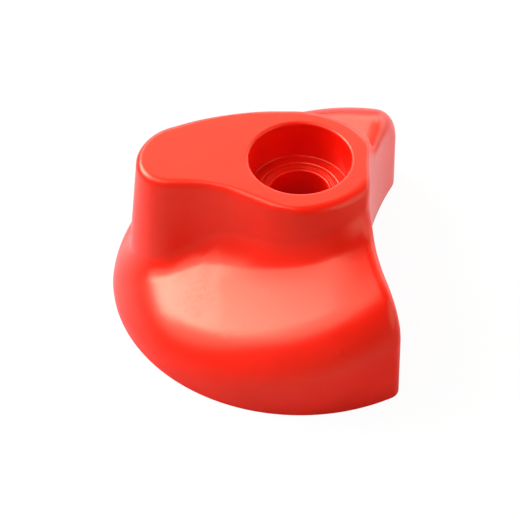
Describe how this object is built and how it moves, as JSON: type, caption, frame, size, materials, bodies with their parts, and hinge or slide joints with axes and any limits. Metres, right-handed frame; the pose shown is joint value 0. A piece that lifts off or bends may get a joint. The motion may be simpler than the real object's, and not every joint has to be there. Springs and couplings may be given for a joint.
{
  "type": "handle knob",
  "caption": "Moulded plastic knob: a comma-shaped raised grip over a round skirt with a sloping finger ledge and a concave side, fixed through a counterbored hole.",
  "frame": {"origin": "on the axis of the fixing hole, in the plane of the flat back", "axes": "+Z along the fixing hole, away from the surface the knob is screwed to; -X towards the crown's lobe and the low side of the finger ledge; +X towards the concave side; -Y towards the wider side of the ledge, which faces the viewer in the picture"},
  "size_m": [0.0559, 0.072, 0.031],
  "materials": {
    "red_plastic": "semi-gloss moulded"
  },
  "bodies": {
    "root": {"knob_body": "red_plastic"}
  },
  "joints": []
}
